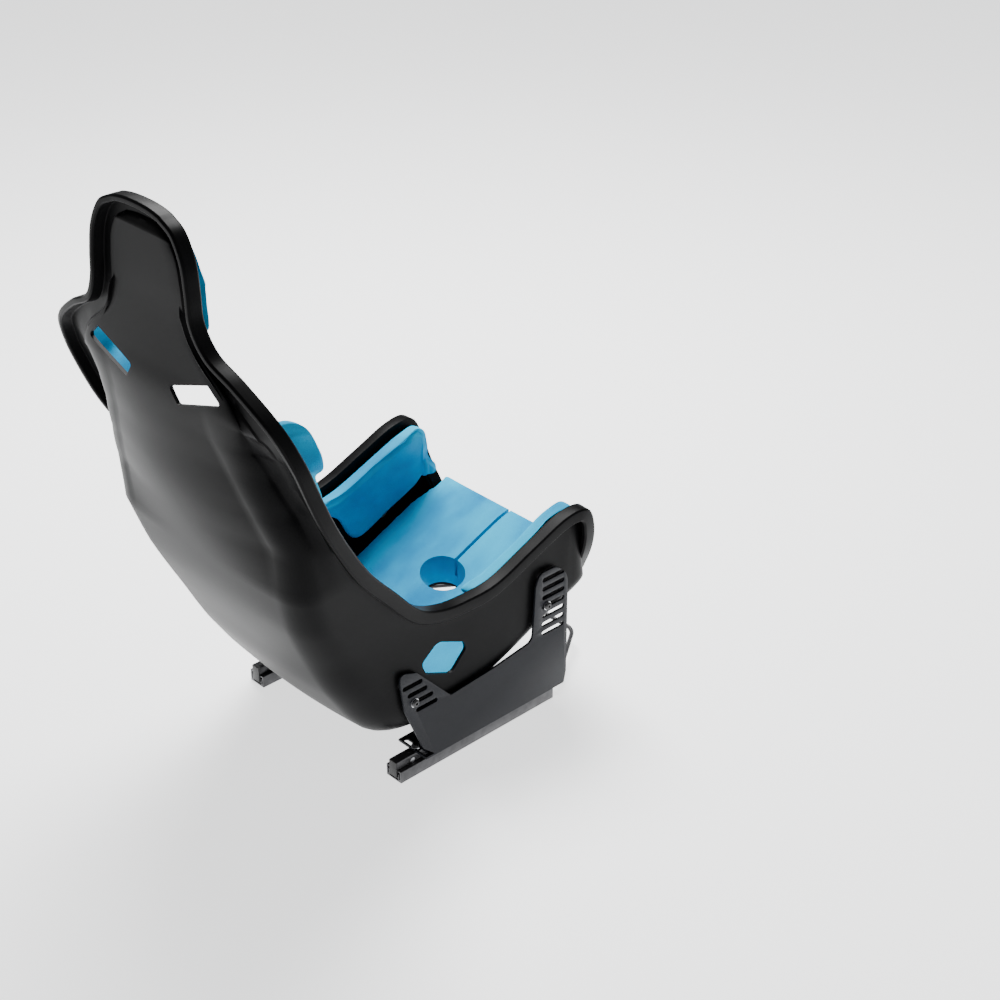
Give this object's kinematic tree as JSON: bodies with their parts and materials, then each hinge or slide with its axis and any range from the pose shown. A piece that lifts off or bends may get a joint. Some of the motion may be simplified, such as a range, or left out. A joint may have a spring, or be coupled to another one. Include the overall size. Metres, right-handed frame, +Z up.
{
  "type": "racing seat",
  "caption": "Fixed-back bucket racing seat with loose cushions, side brackets and locking slide rails with a front release bar.",
  "frame": {"origin": "middle of the seat's footprint, on the floor plane under the slide rails", "axes": "+Z up, -Y the way the driver faces, +X to the driver's left"},
  "size_m": [0.5774, 0.774, 1.027],
  "materials": {
    "shell": "satin moulded composite",
    "cushion": "azure suede-like pile",
    "hook": "black hook-and-loop",
    "zinc": "zinc plated",
    "black_steel": "black oxide",
    "bracket": "satin black powder coat",
    "rail": "dark coated steel",
    "nylon": "natural nylon",
    "black_plastic": "moulded",
    "lever": "stamped steel",
    "spring": "spring steel",
    "bar": "black powder coat"
  },
  "bodies": {
    "lower_rails": {"left_lower_rail": "rail", "right_lower_rail": "rail"},
    "seat": {"seat_shell": "shell", "headrest_cushion": "cushion", "back_cushion": "cushion", "left_back_bolster": "cushion", "right_back_bolster": "cushion", "base_cushion": "cushion", "left_thigh_cushion": "cushion", "right_thigh_cushion": "cushion", "hook_patches": "hook", "shell_inserts": "zinc", "shell_spacers": "black_plastic", "left_side_bracket": "bracket", "right_side_bracket": "bracket", "bracket_washers": "zinc", "bracket_bolts": "black_steel", "flange_washers": "zinc", "flange_bolts": "black_steel", "rail_nuts": "zinc", "left_upper_rail": "rail", "right_upper_rail": "rail", "left_glides": "nylon", "right_glides": "nylon", "rail_end_caps": "black_plastic", "lever_pins": "zinc", "pin_clips": "zinc", "lock_springs": "spring"},
    "release_bar": {"release_bar": "bar", "left_lock_lever": "lever", "right_lock_lever": "lever"}
  },
  "joints": [
    {"name": "seat_slide", "type": "slide", "parent": "lower_rails", "child": "seat", "axis": [0, -1, 0], "range_m": [-0.09, 0.09]},
    {"name": "bar_lift", "type": "hinge", "parent": "seat", "child": "release_bar", "pos_m": [0, 0.077, 0.027], "axis": [-1, 0, 0], "range_deg": [0, 2.2], "stiffness_Nm_per_rad": 8, "springref_deg": -11.46, "deforming": ["lock_springs"]}
  ]
}
